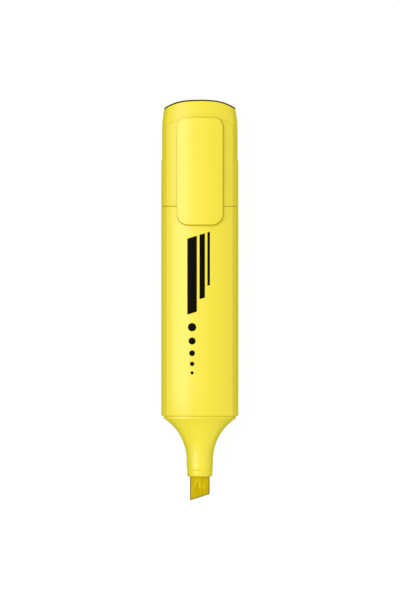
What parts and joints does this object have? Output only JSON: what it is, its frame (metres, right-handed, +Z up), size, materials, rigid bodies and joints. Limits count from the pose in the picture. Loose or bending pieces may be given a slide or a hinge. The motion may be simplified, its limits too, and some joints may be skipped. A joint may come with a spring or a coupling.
{
  "type": "capped chisel highlighter",
  "caption": "Flat-oval highlighter with a chisel fibre nib, a flared nose and a clip cap posted on its tail; the cap pulls off and the pocket clip flexes.",
  "frame": {"origin": "centre of the footprint, on the surface that the pen lies on, back down", "axes": "+Y along the pen from the nib to the cap's end, +Z up through the pocket clip, +X to the right of the picture"},
  "size_m": [0.024, 0.1248, 0.0162],
  "materials": {
    "body_plastic": "glossy moulded fluorescent yellow",
    "nib_felt": "ink-soaked amber fibre",
    "core_fibre": "ink-soaked fibre",
    "core_film": "thin wrapped film",
    "seal_plastic": "satin dark moulding"
  },
  "bodies": {
    "barrel": {"barrel": "body_plastic", "front_section": "body_plastic", "nib": "nib_felt", "reservoir_fibre": "core_fibre", "reservoir_film": "core_film", "tail_plug": "body_plastic"},
    "cap": {"cap_shell": "body_plastic", "inner_cap": "seal_plastic"},
    "clip": {"pocket_clip": "body_plastic"}
  },
  "joints": [
    {"name": "cap_pull", "type": "slide", "parent": "barrel", "child": "cap", "axis": [0, 1, 0], "range_m": [0, 0.03]},
    {"name": "clip_flex", "type": "hinge", "parent": "cap", "child": "clip", "pos_m": [0, 0.055, 0.01447], "axis": [-1, 0, 0], "range_deg": [0, 4.5], "stiffness_Nm_per_rad": 0.5}
  ]
}
